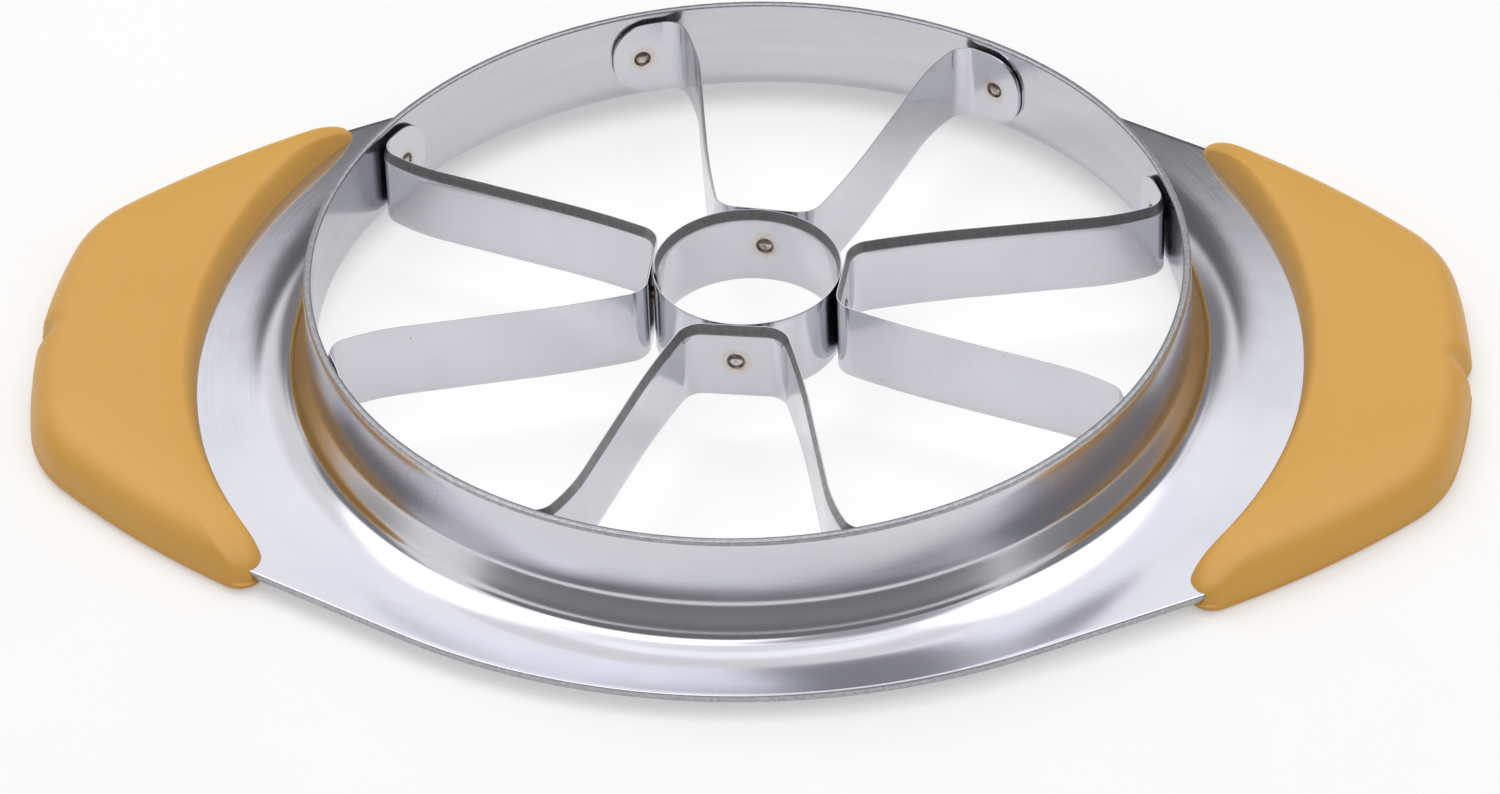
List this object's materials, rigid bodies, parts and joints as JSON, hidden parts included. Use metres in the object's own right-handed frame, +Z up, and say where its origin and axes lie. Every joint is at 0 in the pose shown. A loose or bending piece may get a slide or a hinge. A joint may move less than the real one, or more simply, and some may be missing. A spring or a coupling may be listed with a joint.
{
  "type": "apple slicer and corer",
  "caption": "Push-down apple slicer and corer: a drawn steel plate with a collar, a moulded grip at each end, a core ring and V-shaped blade strips spot welded across the opening.",
  "frame": {"origin": "on the collar's axis, on the surface that the grips rest on", "axes": "+X along the line through both grips, +Y to the back, +Z up towards the cutting edges"},
  "size_m": [0.1698, 0.123, 0.017],
  "materials": {
    "sheet_steel": "stainless sheet, satin polished, with a sheared edge",
    "blade_steel": "cold-rolled stainless strip with a ground edge",
    "grip_plastic": "moulded plastic, satin mustard yellow",
    "weld_steel": "resistance spot weld with brown heat tint"
  },
  "bodies": {
    "root": {"frame_plate": "sheet_steel", "grip_left": "grip_plastic", "grip_right": "grip_plastic", "core_ring": "blade_steel", "blade_right": "blade_steel", "blade_back": "blade_steel", "blade_left": "blade_steel", "blade_front": "blade_steel", "rim_weld_1": "weld_steel", "rim_weld_2": "weld_steel", "rim_weld_3": "weld_steel", "rim_weld_4": "weld_steel", "rim_weld_5": "weld_steel", "rim_weld_6": "weld_steel", "rim_weld_7": "weld_steel", "rim_weld_8": "weld_steel", "hub_weld_1": "weld_steel", "hub_weld_2": "weld_steel", "hub_weld_3": "weld_steel", "hub_weld_4": "weld_steel"}
  },
  "joints": []
}
